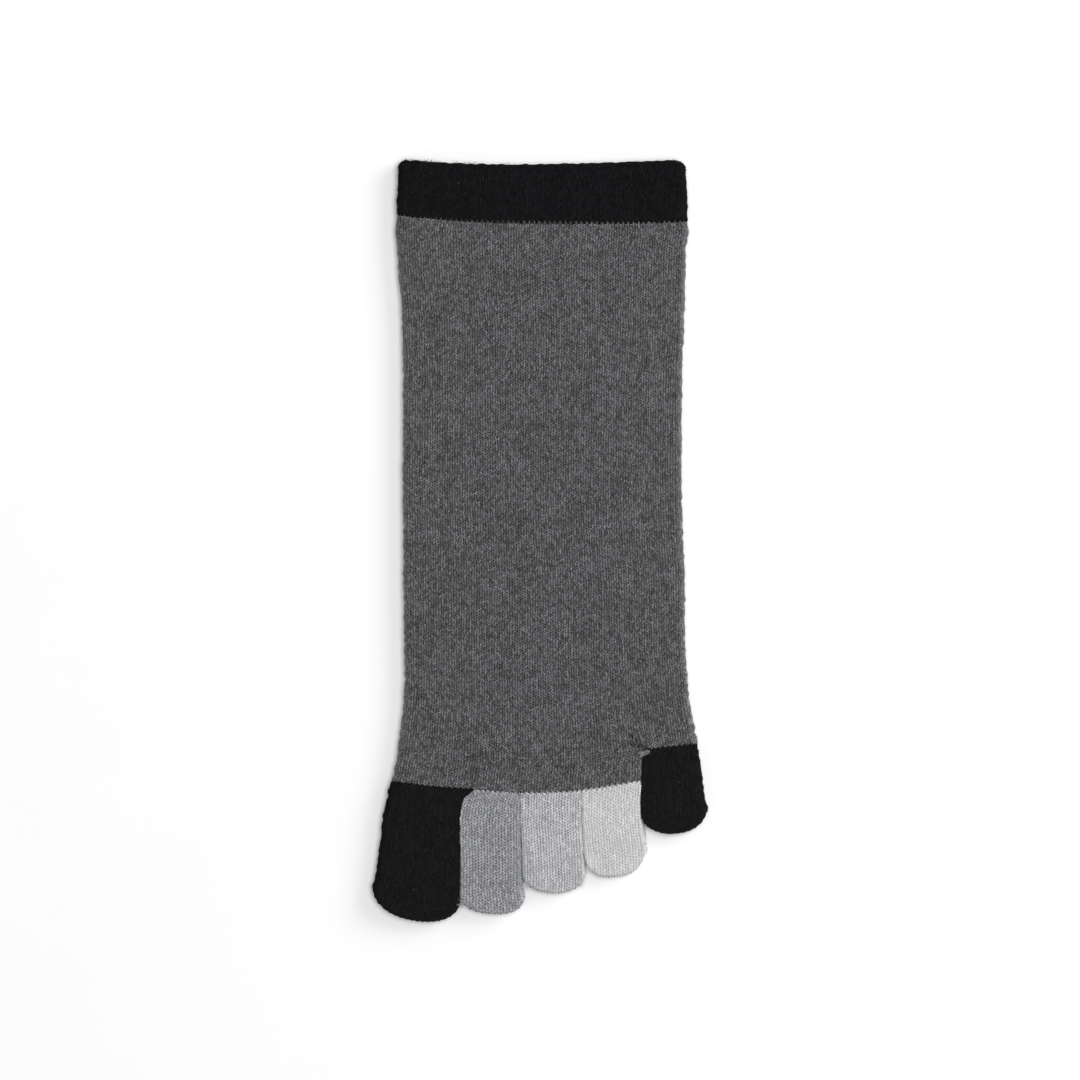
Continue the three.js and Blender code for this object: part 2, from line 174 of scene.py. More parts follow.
# Unevenness of the knit and how long each kind is, from one arm's height to the slow sideways shift
ARM_JITTER = 0.07
COURSE_JITTER = 0.08
COURSE_JITTER_LENGTH = 1.6
WALE_DRIFT = 0.09
WALE_DRIFT_LENGTH = 2.5
UNDULATION = 0.07
UNDULATION_LENGTH = 26.0
LUMPS = 0.06
LUMP_LENGTH = 3.0
FOLD_LUMPS = 0.15
FOLD_LUMP_LENGTH = 1.3
MOUTH_LUMPS = 0.11
MOUTH_LUMP_LENGTH = 1.4
MOUTH_LUMP_FADE = 1.5
WARP = 0.12
WARP_LENGTH = 30.0

# Knots of yarn that stand out of the outline: x and y in the frame, height and radius
KNOTS = [
    (-53.1, -108.8, 0.5, 1.1), (53.1, -84.5, 0.6, 1.1), (33.9, -98.0, 0.8, 0.9), (15.4, -101.6, 0.5, 1.4),
    (-24.9, -112.9, 0.4, 1.2), (-5.3, -107.4, 0.4, 1.2),
]
# Creases of the top: both ends in the frame, depth and width
CREASES = [
    (27.4, -63.6, 33.4, -65.3, 0.42, 0.50), (28.2, -60.8, 32.2, -64.4, 0.36, 0.42),
    (30.6, -61.0, 32.8, -64.6, 0.34, 0.38), (32.0, -64.9, 34.6, -65.6, 0.45, 0.35),
    (-4.1, -80.6, -4.0, -83.0, 0.30, 0.45), (-20.9, -79.9, -22.8, -82.0, 0.25, 0.45),
    (15.4, -79.5, 15.9, -83.0, 0.20, 0.45),
]
# Painted shade that goes with the shape: in the creases, where it also takes the painted light off a fold,
# and on a toe's first course, under the lip of the piece above
CREASE_PAINTED_SHADE = 1.9
CREASE_CUT = 8
TOE_SEAM_PAINTED_SHADE = 0.32
TOE_SEAM_REACH = 1.6


def mix(start, end, share):
    return start + (end - start) * share


def smooth_curve(points, column=1):
    """A monotone cubic through one column of a table whose first column rises."""
    at = np.array([row[0] for row in points], float)
    value = np.array([row[column] for row in points], float)
    step = np.diff(at)
    slope = np.diff(value) / step
    tangent = np.concatenate([slope[:1], np.zeros(len(at) - 2), slope[-1:]])
    same = slope[:-1] * slope[1:] > 0
    inner = np.zeros(len(at) - 2)
    inner[same] = 2 * slope[:-1][same] * slope[1:][same] / (slope[:-1][same] + slope[1:][same])
    tangent[1:-1] = inner

    def evaluate(where):
        where = np.clip(where, at[0], at[-1])
        index = np.clip(np.searchsorted(at, where, side="right") - 1, 0, len(step) - 1)
        t = (where - at[index]) / step[index]
        width = step[index]
        return ((1 + 2 * t) * (1 - t) ** 2 * value[index] + t * (1 - t) ** 2 * width * tangent[index]
                + t * t * (3 - 2 * t) * value[index + 1] - t * t * (1 - t) * width * tangent[index + 1])

    return evaluate


def quarter_arc(fold, half):
    """Length of a quarter of an ellipse, near enough."""
    return math.pi / 4 * (3 * (fold + half) - np.sqrt((3 * fold + half) * (fold + 3 * half)))


# Places in the part's own layout, before the shift into the frame: y = 0 is the toe line's level
TOE_LIST = list(TOES.values())
TOE_STARTS = np.concatenate([[0], np.cumsum([toe["width"] for toe in TOE_LIST])])
BLOCK_WIDTH = TOE_STARTS[-1]
EDGE_OWNERS = [TOE_LIST[0]] + TOE_LIST
EDGE_CURVES = [smooth_curve(points) for points in EDGES]


def edge_shift(number, out):
    owner = EDGE_OWNERS[number]
    share = np.where(out < 0, out / BLOCK_LENGTH, out / owner["length"])
    return EDGE_CURVES[number](share) * owner["width"]


BALL_REACH = float(edge_shift(0, -BLOCK_LENGTH))
CROTCH_REACH = BLOCK_WIDTH + float(edge_shift(4, -BLOCK_LENGTH))
TOE_LINE_START = BALL_SHIFT - (BALL_REACH + CROTCH_REACH + LITTLE_TOE_BASE) / 2
BALL_LEFT = TOE_LINE_START + BALL_REACH
CROTCH_X = TOE_LINE_START + CROTCH_REACH
BALL_RIGHT = CROTCH_X + LITTLE_TOE_BASE


def edge_at(number, out):
    return TOE_LINE_START + TOE_STARTS[number] + edge_shift(number, out)


def toe_line(x):
    across = np.minimum(1, np.abs(2 * (x - TOE_LINE_START) / BLOCK_WIDTH - 1))
    bend = SEAM_BEND * np.exp(-((x - SEAM_BEND_X) / SEAM_BEND_WIDTH) ** 2)
    return TOE_LINE_BOW * (across ** TOE_LINE_POWER - TOE_LINE_MEAN) + bend


def cuff_line(x):
    side = x / (CUFF_WIDTH / 2)
    middle = BLOCK_LENGTH + FOOT_LENGTH + CUFF_SEAM_RISE
    return middle + CUFF_SEAM_BOW * side ** 2 - CUFF_SEAM_TILT * side


def mouth_line(x):
    return BLOCK_LENGTH + FOOT_LENGTH + CUFF_LENGTH + MOUTH_BOW * (x / (CUFF_WIDTH / 2)) ** 2


CROTCH_Y = float(mix(cuff_line(CROTCH_X), toe_line(CROTCH_X), TUBE_COURSES / GREY_COURSES))


def crotch_line(x):
    return CROTCH_Y + LITTLE_TOE_TILT * np.maximum(0, x - CROTCH_X) / LITTLE_TOE_BASE


# From the part's layout to the frame, read off the cuff's side and the big toe's tip
SHIFT_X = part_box("cuff")[0][0] / MM + CUFF_WIDTH * 0.499
SHIFT_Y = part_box("big_toe")[0][1] / MM + TOES["big_toe"]["length"]


def swell(x, y, length, seed, waves=14):
    """Smooth random change of about -1 to 1 over places, in lumps of about the length given."""
    random = np.random.default_rng(seed)
    total = 0
    for _ in range(waves):
        turn = random.uniform(0, 2 * math.pi)
        rate = 2 * math.pi / (length * random.uniform(1.4, 3.2))
        total = total + np.sin((x * math.cos(turn) + y * math.sin(turn)) * rate + random.uniform(0, 7))
    return total / math.sqrt(waves)


def knots(x, y):
    height = 0 * x
    for knot_x, knot_y, rise, radius in KNOTS:
        height = height + rise * np.exp(-((x - knot_x) ** 2 + (y - knot_y) ** 2) / radius ** 2)
    return height


def creases(x, y, z):
    total = 0 * x
    for start_x, start_y, end_x, end_y, depth, width in CREASES:
        length = (end_x - start_x) ** 2 + (end_y - start_y) ** 2
        reach = (x - start_x) * (end_x - start_x) + (y - start_y) * (end_y - start_y)
        share = np.clip(reach / length, 0, 1)
        away = (x - mix(start_x, end_x, share)) ** 2 + (y - mix(start_y, end_y, share)) ** 2
        total = np.maximum(total, (z > THICKNESS / 2) * depth * np.exp(-away / width ** 2))
    return total


def section(left, right, **changes):
    """Sizes of a section, with the changes from the usual thickness and folds."""
    usual = dict(thickness=THICKNESS, left_fold=FREE_FOLD, right_fold=FREE_FOLD, left_power=FREE_POWER,
                 right_power=FREE_POWER)
    return {**usual, "left": left, "right": right, **changes}


def halves(wale, middle):
    """1 on a ring's upper half and -1 on its lower one, and the wales from the left side."""
    is_top = wale <= middle
    return np.where(is_top, 1.0, -1.0), np.where(is_top, wale, 2 * middle - wale)


def girth(shape, inset):
    """Sizes at a depth under a section's surface, with the folds' arcs and the length of its upper half."""
    half = shape["thickness"] / 2 - inset
    left_fold = np.maximum(shape["left_fold"] - inset, CROTCH_FOLD / 2)
    right_fold = np.maximum(shape["right_fold"] - inset, CROTCH_FOLD / 2)
    left_arc = quarter_arc(left_fold, half)
    right_arc = quarter_arc(right_fold, half)
    flat = shape["right"] - shape["left"] - 2 * inset - left_fold - right_fold
    return half, left_fold, right_fold, left_arc, right_arc, left_arc + flat + right_arc


def around(shape, run, top, inset, seam_sides=None, seam_share=0.0):
    """x, height above the middle and place across of the point that lies run along the section's half from
    its left side. Near its seam a toe is crowned as the wider piece above it is."""
    half, left_fold, right_fold, left_arc, right_arc, length = girth(shape, inset)
    left = shape["left"] + inset
    right = shape["right"] - inset
    left_turn = np.clip(run / left_arc, 0, 1) * math.pi / 2
    right_turn = np.clip((length - run) / right_arc, 0, 1) * math.pi / 2
    in_left = run < left_arc
    in_right = run > length - right_arc
    left_x = left + left_fold * (1 - np.abs(np.cos(left_turn)) ** (2 / shape["left_power"]))
    right_x = right - right_fold * (1 - np.abs(np.cos(right_turn)) ** (2 / shape["right_power"]))
    x = np.where(in_left, left_x, np.where(in_right, right_x, left + left_fold + run - left_arc))
    rise = np.where(in_left, np.sin(left_turn) ** (2 / shape["left_power"]), 1.0)
    rise = np.where(in_right, np.sin(right_turn) ** (2 / shape["right_power"]), rise)
    across = np.clip(2 * (x - left) / (right - left) - 1, -1, 1)
    seam_across = across
    if seam_sides is not None:
        seam_across = 2 * (x - seam_sides[0]) / (seam_sides[1] - seam_sides[0]) - 1
    crown = mix(across ** 2, np.minimum(seam_across ** 2, 1), seam_share)
    return x, top * rise * (half - np.where(top > 0, CROWN * crown, 0)), across


FLARE = smooth_curve(FOOT_SECTIONS, 1)
LEFT_BULGE = smooth_curve(FOOT_SECTIONS, 2)
RIGHT_BULGE = smooth_curve(FOOT_SECTIONS, 3)

# The spur of knit at the crotch: where it ends, the edge's shift there, its size, over how many courses it
# fades above the crotch, and over how many millimetres beside it
SPUR_END = -0.8 * BLOCK_LENGTH
SPUR_FOOT = float(edge_shift(4, SPUR_END))
SPUR_SIZE = float(edge_shift(4, -CROTCH_Y)) - SPUR_FOOT
SPUR_FADE = 5.0
SPUR_REACH = 3.0


def fold_along_toe(out, fold, tip_fold):
    return mix(fold, tip_fold, np.clip((out - LEAN_START) / (LEAN_END - LEAN_START), 0, 1))


def fold_beside_crotch(out, fold):
    return mix(CROTCH_FOLD, fold, np.clip((out + BLOCK_LENGTH) / (CROTCH_FADE * BLOCK_LENGTH), 0, 1))


def spur(course):
    """How far the knit beside the crotch is pulled toward the little toe."""
    share = (course - TUBE_COURSES) / (GREY_COURSES - TUBE_COURSES)
    out = -mix(CROTCH_Y, float(toe_line(TOE_LINE_START)), share)
    below = edge_shift(4, np.clip(out, -CROTCH_Y, SPUR_END)) - SPUR_FOOT
    above = SPUR_SIZE * np.exp(-((course - TUBE_COURSES) / SPUR_FADE) ** 2)
    return np.where(course < TUBE_COURSES, above, below)


def tube_point(course, wale, inset):
    """A point of the grey tube. wale runs over its top from the big toe's side, then back underneath."""
    along = np.clip(course / TUBE_COURSES, 0, 1)
    flare = FLARE(along)
    shape = section(
        mix(-LEG_WIDTH / 2, BALL_LEFT, flare) - LEFT_BULGE(along) * LEG_WIDTH,
        mix(LEG_WIDTH / 2, BALL_RIGHT, flare) + RIGHT_BULGE(along) * LEG_WIDTH)
    _, left_fold, _, left_arc, _, length = girth(shape, inset)
    crotch_share = (CROTCH_X - SPUR_SIZE - BALL_LEFT) / (BALL_RIGHT - BALL_LEFT)
    crotch_x = mix(shape["left"], shape["right"], crotch_share) - SEAM_GAP / 2 - CROTCH_FOLD - inset * flare
    before = left_arc + crotch_x - shape["left"] - inset - left_fold
    top, step = halves(wale, TOP_WALES)
    run = np.where(step <= CROTCH_WALES, step / CROTCH_WALES * before,
                   before + (step - CROTCH_WALES) / LITTLE_TOE_WALES * (length - before))
    x, z, _ = around(shape, run, top, inset)
    pull = spur(course) * np.exp(-np.abs(x - crotch_x) / SPUR_REACH) * flare
    past_crotch = x > crotch_x
    lean_share = np.where(past_crotch, (shape["right"] - x) / (shape["right"] - crotch_x),
                          (x - shape["left"]) / (crotch_x - shape["left"]))
    block_y = mix(cuff_line(x), toe_line(x), course / GREY_COURSES)
    little_y = mix(cuff_line(x), crotch_line(x), course / TUBE_COURSES)
    y = np.where(past_crotch, little_y, block_y)
    return x + pull - TOE_LEAN * flare * lean_share * z, y, z + THICKNESS / 2


# Courses past the crotch at which the block leaves the tube's shape, and over how many
BLOCK_START = 0.8
BLOCK_BLEND = 4


def block_point(course, wale, inset):
    """A point of the four-toe block, whose ring has the tube's wales up to the crotch and a strip between."""
    level = course
    share = np.clip((course - TUBE_COURSES) / (GREY_COURSES - TUBE_COURSES), 0, 2)
    out = -mix(CROTCH_Y, float(toe_line(TOE_LINE_START)), share)
    course = np.maximum(course, TUBE_COURSES)
    right = edge_at(4, np.maximum(out, SPUR_END)) - SEAM_GAP / 2
    right_fold = fold_beside_crotch(out, LOWER_FOLD)
    shape = section(edge_at(0, out), right, right_fold=right_fold, right_power=TOE_POWER)
    right_arc, length = girth(shape, inset)[-2:]
    middle = CROTCH_WALES + STRIP_WALES / 2
    top, step = halves(wale, middle)
    run = np.where(step <= CROTCH_WALES, step / CROTCH_WALES * (length - right_arc),
                   length - (middle - step) / (STRIP_WALES / 2) * right_arc)
    x, z, across = around(shape, run, top, inset)
    y = mix(cuff_line(x), toe_line(x), course / GREY_COURSES)
    pull = spur(course) * np.exp(-(right - x) / SPUR_REACH)
    block = (x + pull - TOE_LEAN * (across + 1) / 2 * z, y, z + THICKNESS / 2)
    tube_wale = np.where(wale <= middle, wale, wale + 2 * TOP_WALES - 2 * middle)
    tube = tube_point(level, tube_wale, inset)
    joined = np.clip((level - TUBE_COURSES - BLOCK_START) / BLOCK_BLEND, 0, 1)
    of_block = np.where(step <= CROTCH_WALES, joined, 1.0)
    return tuple(mix(tube_place, block_place, of_block) for tube_place, block_place in zip(tube, block))


CUFF_LEFT = smooth_curve(CUFF_SECTIONS, 1)
CUFF_RIGHT = smooth_curve(CUFF_SECTIONS, 2)


def cuff_point(course, wale, inset):
    """A point of the cuff. Courses count from the mouth to the seam."""
    along = np.clip(course / CUFF_COURSES, 0, 1)
    shape = section((CUFF_LEFT(along) - 0.5) * CUFF_WIDTH, (0.5 - CUFF_RIGHT(along)) * CUFF_WIDTH,
                    thickness=CUFF_THICKNESS)
    length = girth(shape, inset)[-1]
    top, step = halves(wale, TOP_WALES)
    x, z, _ = around(shape, step / TOP_WALES * length, top, inset)
    waviness = swell(x, z, MOUTH_LUMP_LENGTH, seed=51) * MOUTH_LUMPS
    waviness = waviness * np.exp(-np.maximum(course, 0) / MOUTH_LUMP_FADE)
    return x, mix(mouth_line(x), cuff_line(x), course / CUFF_COURSES) + waviness, z + CUFF_THICKNESS / 2


def toe_walls(toe, seam, start, left_at, right_at, folds_at, leans, lean_ends, seam_sides):
    """The point function of one toe. Courses count from its seam to its tip. leans is how far its left and
    right sides lean, lean_ends where they straighten up, seam_sides the sides of the piece above its seam."""
    left_nub = start + toe["length"] * toe["left"]
    right_nub = start + toe["length"] * toe["right"]
    nub = (left_nub + right_nub) / 2
    body_bow = start + toe["length"] - TIP_TRIM - nub - TIP_FOLD
    body = nub + body_bow - start
    tip = float(quarter_arc(TIP_FOLD, THICKNESS / 2))
    body_courses = toe["courses"] * body / (body + tip)
    chord = nub - start
    shares = np.linspace(0, 1, 200)
    reached = shares * chord + body_bow * shares ** TIP_BEND_POWER

    def point(course, wale, inset):
        travelled = np.clip(course / body_courses, -0.1, 1)
        share = np.where(travelled < 0, travelled * (reached[-1] / chord),
                         np.interp(travelled * reached[-1], reached, shares))
        turn = np.clip((course - body_courses) / (toe["courses"] - body_courses), 0, 1) * math.pi / 2
        left_start = -seam(left_at(start))
        right_start = -seam(right_at(start))
        left_out = mix(left_start, left_nub, share)
        right_out = mix(right_start, right_nub, share)
        shape = section(left_at(left_out), right_at(right_out), **folds_at(left_out))
        length = girth(shape, inset)[-1]
        top, step = halves(wale, toe["wales"])
        seam_share = np.clip(1 - course / SEAM_FADE, 0, 1)
        x, z, across = around(shape, step / toe["wales"] * length, top, inset, seam_sides, seam_share)
        tip_shape = np.maximum(0, 1 - np.abs(across) ** toe["power"]) ** (1 / toe["power"])
        nub_line = mix(left_nub, right_nub, (across + 1) / 2)
        bow = body_bow * np.maximum(share, 0) ** TIP_BEND_POWER
        bow = bow + (TIP_FOLD - np.minimum(inset, TIP_FOLD * 0.9)) * np.sin(turn) ** (2 / TIP_POWER)
        out = mix(-seam(x), nub_line, share) + bow * tip_shape
        z = z * np.cos(turn) ** (2 / TIP_POWER)
        lean_end = mix(*lean_ends, (across + 1) / 2)
        lean = mix(*leans, (across + 1) / 2) * np.clip((lean_end - out) / (lean_end - LEAN_START), 0, 1)
        return x - lean * z, -out, z + THICKNESS / 2

    return point


def block_toe(number):
    free = number == 0
    last = number == len(TOES) - 1

    def folds(out):
        left_fold = FREE_FOLD if free else fold_along_toe(out, UPPER_FOLD, UPPER_TIP_FOLD)
        return dict(left_fold=left_fold, left_power=FREE_POWER if free else TOE_POWER,
                    right_fold=fold_along_toe(out, LOWER_FOLD, LOWER_TIP_FOLD), right_power=TOE_POWER)

    return toe_walls(TOE_LIST[number], toe_line, 0,
                     lambda out: edge_at(number, out) + (0 if free else SEAM_GAP / 2),
                     lambda out: edge_at(number + 1, out) - SEAM_GAP / 2,
                     folds, (0 if free else TOE_LEAN, TOE_LEAN),
                     (LEAN_END, FREE_LEAN_END if last else LEAN_END),
                     (float(edge_at(0, 0.0)), float(edge_at(4, 0.0))))


def little_toe():
    side = smooth_curve(LITTLE_TOE_SIDE)
    start = -CROTCH_Y
    return toe_walls(LITTLE_TOE, crotch_line, start,
                     lambda out: edge_at(4, out) + SEAM_GAP / 2,
                     lambda out: BALL_RIGHT + side((out - start) / LITTLE_TOE["length"]) * LITTLE_TOE_BASE,
                     lambda out: dict(left_fold=fold_beside_crotch(out, UPPER_FOLD), left_power=TOE_POWER),
                     (TOE_LEAN, 0), (FREE_LEAN_END, FREE_LEAN_END), (BALL_LEFT, BALL_RIGHT))


# The outer surfaces of each node's walls, on which loose fibres stand: points and normals
SURFACES = {}


def outward_normals(places):
    """Unit normals of rows of points round a section."""
    along_rows = np.gradient(places, axis=0)
    along_columns = np.roll(places, -1, axis=1) - np.roll(places, 1, axis=1)
    normals = np.cross(along_columns, along_rows)
    sizes = np.linalg.norm(normals, axis=-1, keepdims=True)
    normals = np.where(sizes > 1e-4, normals / np.maximum(sizes, 1e-9), 0)
    top = places[..., 2] > THICKNESS * 0.9
    if normals[top][:, 2].sum() < 0:
        normals = -normals
    return normals


def stitch_relief(places, normals, wale, course, key):
    """How far each point stands out: the V of its stitch, the difference between arms, the slow rise and
    fall, the lumps and the knots."""
    row = np.rint((course % 1) * ROWS).astype(int) % ROWS
    column = np.arange(wale.shape[1])[None, :] % COLUMNS
    height = np.array(STITCH_HEIGHTS)[row, column]
    arm = np.sin(np.floor(2 * wale) * 12.9898 + np.floor(course) * 78.233 + key) * 43758.5453
    height = height + ((arm % 1) - 0.5) * ARM_JITTER
    x, y, z = (places[..., axis] for axis in range(3))
    turned = 1 - np.abs(normals[..., 2])
    height = height + swell(x, y, UNDULATION_LENGTH, seed=5) * UNDULATION
    height = height + swell(x + z, y, LUMP_LENGTH, seed=9) * LUMPS
    height = height + swell(x * 0.6, y, FOLD_LUMP_LENGTH, seed=15) * FOLD_LUMPS * turned
    height = height + knots(x, y)
    under = np.clip(1 - z / THICKNESS * 2, 0, 1)
    return np.minimum(height, mix(HIGHEST, 0.0, under))


def painted_light_and_shade(normals, course, crease, is_toe):
    """Painted light and shade: how much lighter each point is painted where it turns to the side, as on a
    fold, or below 0 how much darker, as painted shade in a crease and on a toe's first course.
    """
    shade = np.sqrt(np.maximum(0, 1 - normals[..., 2] ** 2)) * np.clip(course, 0, 1)
    shade = shade * np.clip(1 - CREASE_CUT * crease, 0, 1) - crease * CREASE_PAINTED_SHADE
    if is_toe:
        shade = shade - TOE_SEAM_PAINTED_SHADE * np.clip(TOE_SEAM_REACH - course, 0, 1)
    return shade


def wall_places(point, wale, course, inset, chevron):
    """Points of a wall's plain surface on its V-shaped courses, with the depth of the creases there."""
    shoulder = np.abs(2 * (wale % 1) - 1)
    level = course + (0.5 - shoulder) * STITCH_RISE * chevron
    level = level + swell(wale * 1.6, course * 0.8, COURSE_JITTER_LENGTH, seed=31) * COURSE_JITTER * chevron
    drift = swell(wale * 1.6, course * 0.8, WALE_DRIFT_LENGTH, seed=33) * WALE_DRIFT * chevron
    x, y, z = point(level, wale + 0 * course, inset)
    crease = creases(x + SHIFT_X, y + SHIFT_Y, z)
    z = z - crease
    on_top = np.clip(z - THICKNESS * 0.8, 0, 1)
    return np.stack([x + SHIFT_X + drift * on_top, y + SHIFT_Y, z], axis=-1), crease


def put_in_scene(name, data):
    made = bpy.data.objects.new(name, data)
    bpy.context.scene.collection.objects.link(made)
    return made


def grid_mesh(name, columns, rows, with_map=False):
    """A flat grid of faces, with each vertex's column and row."""
    mesh = bpy.data.meshes.new(name)
    grid = bmesh.new()
    if with_map:
        grid.loops.layers.uv.new("OFBake")
    bmesh.ops.create_grid(grid, x_segments=columns, y_segments=rows, size=1, calc_uvs=with_map)
    grid.to_mesh(mesh)
    grid.free()
    flat = np.empty(len(mesh.vertices) * 3)
    mesh.vertices.foreach_get("co", flat)
    flat = flat.reshape(-1, 3)
    column = np.rint((flat[:, 0] + 1) / 2 * columns).astype(int)
    row = np.rint((flat[:, 1] + 1) / 2 * rows).astype(int)
    return mesh, column, row


def add_knit_map(mesh, wales, courses, rows):
    """The map that the yarn materials read, in wales and courses."""
    corners = np.empty(len(mesh.loops) * 2)
    mesh.uv_layers["OFBake"].data.foreach_get("uv", corners)
    corners = corners.reshape(-1, 2)
    courses = np.append(courses, courses[0])
    course = courses[np.rint(corners[:, 1] * rows).astype(int)]
    knit = mesh.uv_layers.new(name="knit")
    knit.data.foreach_set("uv", np.stack([corners[:, 0] * wales, course], axis=-1).ravel())


def finish_piece(name, mesh, apart, nodes, material, smooth=True, is_cut=None):
    shell = bmesh.new()
    shell.from_mesh(mesh)
    if is_cut:
        bmesh.ops.delete(shell, geom=[face for face in shell.faces if is_cut(face)], context="FACES")
    bmesh.ops.remove_doubles(shell, verts=shell.verts[:], dist=apart)
    bmesh.ops.recalc_face_normals(shell, faces=shell.faces[:])
    for face in shell.faces:
        face.smooth = smooth
    shell.to_mesh(mesh)
    shell.free()
    mesh.materials.append(material)
    piece = put_in_scene(name, mesh)
    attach(piece, "root")
    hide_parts(*nodes)


def knit_wall(name, point, wales, rows, node, yarn, closed=True):
    """A hollow knit wall. rows holds, for each row of its grid, the course it lies on, its depth under the
    surface, its share of the stitches' relief and of their rise. A closed wall's last row joins its first; a
    toe's wall runs from its inner tip to its seam and back to its tip."""
    columns = wales * COLUMNS
    wale = np.arange(columns)[None, :] / COLUMNS
    course = np.array([row[0] for row in rows], float)[:, None]
    inset = np.array([np.broadcast_to(row[1], (columns,)) for row in rows], float)
    relief = np.array([row[2] for row in rows], float)[:, None]
    chevron = np.array([row[3] for row in rows], float)[:, None]
    places, crease = wall_places(point, wale, course, inset, chevron)

    with_relief = np.flatnonzero(relief[:, 0])
    outer = slice(with_relief[0], with_relief[-1] + 1)
    normals = outward_normals(places[outer])
    height = stitch_relief(places[outer], normals, wale, course[outer], len(name))
    # fold holds painted light where the surface turns to the side, as on the folds, and painted shade in the
    # creases and on a toe's first course; the fold attribute carries it to the yarn materials
    fold = np.zeros((len(rows), columns))
    fold[outer] = painted_light_and_shade(normals, course[outer], crease[outer], is_toe=not closed)
    SURFACES.setdefault(node, []).append((places[outer].reshape(-1, 3), normals.reshape(-1, 3)))
    places[outer] += normals * (height * relief[outer])[..., None]
    places[..., 0] += swell(places[..., 0], places[..., 1], WARP_LENGTH, seed=21) * WARP
    places[..., 1] += swell(places[..., 0], places[..., 1], WARP_LENGTH, seed=22) * WARP
    places[..., 2] = np.maximum(places[..., 2], 0.0)

    row_steps = len(rows) if closed else len(rows) - 1
    mesh, column, row = grid_mesh(name, columns, row_steps, with_map=True)
    column = column % columns
    row = row % len(rows)
    mesh.vertices.foreach_set("co", (places[row, column] * MM).ravel())
    painted_light_share = mesh.attributes.new("fold", "FLOAT", "POINT")
    painted_light_share.data.foreach_set("value", fold[row, column])
    add_knit_map(mesh, wales, course[:, 0], row_steps)
    finish_piece(name, mesh, 1e-6, [node], YARN[yarn])


def outer_rows(first, last, end_chevron=1.0, lip=False):
    """Rows over the surface. end_chevron is how much of the stitches' rise the last one has."""
    count = int(round((last - first) * ROWS))
    rows = []
    for index in range(count + 1):
        course = first + index / ROWS
        flat = max(0.0, 1 - (last - course) / SEAM_CHEVRON_FADE) if lip else 0.0
        rows.append((course, 0.0, mix(1.0, LIP_RELIEF, flat), mix(1.0, end_chevron, flat)))
    return rows


def inner_rows(first, last, wall, step=10.0):
    """Plain rows of the wall's inner side."""
    count = max(1, int(round(abs(last - first) / step)))
    return [(mix(first, last, index / count), wall, 0.0, 0.0) for index in range(count + 1)]


def mouth_rows():
    """Rows over the rounded edge of the cuff's mouth."""
    return [(0.0, CUFF_WALL * 0.5, 0.0, 0.0), (0.2, CUFF_WALL * 0.13, 0.2, 0.1), (0.6, 0.0, 0.6, 0.3)]


def tucked_rows(seam):
    """Rows that come out from under the lip of the piece above."""
    return [(seam - TUCK, SINK, 0.0, 1.0), (seam - 0.5, SINK, 0.4, 1.0), (seam, SINK, 0.6, 1.0),
            (seam + 1 / ROWS, SINK * 0.75, 0.8, 1.0), (seam + 2 / ROWS, SINK * 0.3, 1.0, 1.0)]


def lip_rows(seam, chevron=1.0):
    """The thin edge of stitches that lies over the piece below."""
    return [(seam, LIP, 0.0, chevron), (seam - TUCK, LIP, 0.0, 1.0)]


# Materials

# Painted shade of a stitch: how sharp and how different the painted shade in its gaps is, and how sharp and
# deep the painted shade at its arms' ends
GAP_SHARPNESS = 6.5
GAP_CHANGE = 0.6
GAP_STEPS = (3.7, 0.3)
END_SHARPNESS = 3.6
END_SHARE = 0.6

# Yarn, with each noise's steps over a wale and a course, or its scale over a metre
YARN_ROUGHNESS = 0.92
YARN_GLOSS = 0.05
SHEEN_ROUGHNESS = 0.4
DARKEST_TONE = 0.08
STREAK_STEPS = (1.9, 0.40)
STRAND_STEPS = (4.5, 2.2)
FIBRE_SCALE = 5200.0
FIBRE_SHARE = 0.4
BLOTCH_SCALE = 110.0
FIBRE_BUMP = 0.35
FIBRE_BUMP_HEIGHT = 0.00015


def node(tree, kind, **settings):
    made = tree.nodes.new(kind)
    for name, value in settings.items():
        setattr(made, name, value)
    return made


def feed(tree, made, values):
    """Links the inputs named to values that are sockets, and sets them to others."""
    for name, value in values.items():
        if isinstance(value, bpy.types.NodeSocket):
            tree.links.new(value, made.inputs[name])
        elif value is not None:
            made.inputs[name].default_value = value


def calculate(tree, operation, first, second=None, third=None, clamp=False):
    made = node(tree, "ShaderNodeMath", operation=operation, use_clamp=clamp)
    feed(tree, made, {0: first, 1: second, 2: third})
    return made.outputs[0]


def times(tree, first, second, clamp=False):
    return calculate(tree, "MULTIPLY", first, second, clamp=clamp)


def combine(tree, x, y, z):
    made = node(tree, "ShaderNodeCombineXYZ")
    feed(tree, made, {0: x, 1: y, 2: float(z)})
    return made.outputs[0]


def noise(tree, vector, scale, detail=2.0, roughness=0.5):
    made = node(tree, "ShaderNodeTexNoise")
    feed(tree, made, {"Vector": vector, "Scale": scale, "Detail": detail, "Roughness": roughness})
    return made.outputs[0]


def knit_place(tree, wale, course, steps, seed):
    """A noise's place, which moves by the steps over one wale and one course."""
    return combine(tree, times(tree, wale, steps[0]), times(tree, course, steps[1]), seed)


def around_one(tree, value, amount):
    """A noise of 0 to 1 made a factor about 1."""
    return calculate(tree, "MULTIPLY_ADD", value, 2 * amount, 1 - amount)


